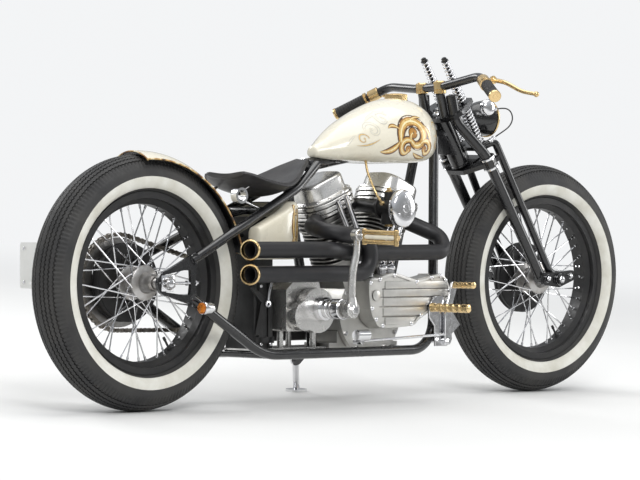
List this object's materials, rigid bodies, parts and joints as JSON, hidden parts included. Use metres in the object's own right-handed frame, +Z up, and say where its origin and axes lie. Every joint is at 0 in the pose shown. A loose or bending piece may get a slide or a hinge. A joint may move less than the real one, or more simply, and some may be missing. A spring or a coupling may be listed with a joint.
{
  "type": "motorcycle",
  "caption": "Rigid-frame custom motorcycle with a springer fork, V-twin engine, sprung solo seat, twin high pipes and wire wheels, parked on its side stand.",
  "frame": {"origin": "on the ground under the centre of the bike's outline box, as it stands on its tyres and side stand", "axes": "+X forward, +Y to the rider's left, +Z up; the bike leans 4 degrees to its left"},
  "size_m": [2.2505, 0.784, 0.9912],
  "materials": {
    "tyre_rubber": "dull black",
    "rim_black": "gloss black",
    "drum_black": "satin black",
    "frame_black": "gloss black",
    "pipe_black": "matt heatproof black",
    "chrome": "bright",
    "steel": "brushed",
    "zinc_steel": "dull",
    "cast_alloy": "as cast",
    "polished_alloy": "polished",
    "brass": "polished",
    "cream_paint": "gloss",
    "grip_rubber": "ribbed",
    "seat_leather": "smooth",
    "plate_white": "satin",
    "lens_amber": "clear amber",
    "box_black": "textured"
  },
  "bodies": {
    "chassis": {"air_cleaner": "chrome", "axle_plates": "frame_black", "battery_box": "box_black", "carburettor": "drum_black", "crankcase": "cast_alloy", "cylinder_heads": "cast_alloy", "cylinders": "cast_alloy", "drive_chain": "zinc_steel", "exhaust_pipes": "pipe_black", "exhaust_tips": "brass", "fender_brackets": "frame_black", "foot_controls": "chrome", "foot_pegs": "brass", "frame_backbone": "frame_black", "frame_crossmembers": "frame_black", "frame_rails": "frame_black", "frame_stays": "frame_black", "fuel_cap": "brass", "fuel_tank": "cream_paint", "gear_cover": "cast_alloy", "gearbox": "polished_alloy", "kick_pedal": "brass", "kick_starter": "steel", "number_plate": "plate_white", "oil_tank": "cream_paint", "plate_bracket": "frame_black", "primary_cover": "drum_black", "pushrods": "chrome", "rear_axle": "steel", "rear_fender": "cream_paint", "rear_lamps": "lens_amber", "rocker_covers": "polished_alloy", "seat": "seat_leather", "seat_springs": "chrome"},
    "rear_wheel": {"rear_drum": "drum_black", "rear_hub": "chrome", "rear_rim": "rim_black", "rear_sprocket": "steel", "rear_tyre": "tyre_rubber"},
    "fork": {"bar_fittings": "brass", "brake_plate": "drum_black", "control_cable": "grip_rubber", "fork_legs": "frame_black", "fork_rockers": "chrome", "fork_springs": "chrome", "gauge": "chrome", "grips": "grip_rubber", "handlebar": "frame_black", "headlamp": "frame_black", "levers": "brass", "spring_legs": "frame_black"},
    "front_wheel": {"front_drum": "drum_black", "front_hub": "chrome", "front_rim": "rim_black", "front_tyre": "tyre_rubber"},
    "side_stand": {"side_stand": "chrome"}
  },
  "joints": [
    {"name": "rear_wheel_spin", "type": "hinge", "parent": "chassis", "child": "rear_wheel", "pos_m": [-0.78329, -0.01779, 0.34132], "axis": [0, 0.9976, -0.0698], "continuous": true},
    {"name": "steering", "type": "hinge", "parent": "chassis", "child": "fork", "pos_m": [0.35165, 0.01904, 0.86817], "axis": [-0.53, 0.0592, 0.8459], "range_deg": [-24.8, 31.2]},
    {"name": "front_wheel_spin", "type": "hinge", "parent": "fork", "child": "front_wheel", "pos_m": [0.7836, -0.02262, 0.34178], "axis": [0.0473, 0.9981, -0.0401], "continuous": true},
    {"name": "side_stand_fold", "type": "hinge", "parent": "chassis", "child": "side_stand", "pos_m": [-0.07126, 0.10211, 0.10647], "axis": [0.1252, 0.7068, 0.6963], "range_deg": [0, 121]}
  ]
}
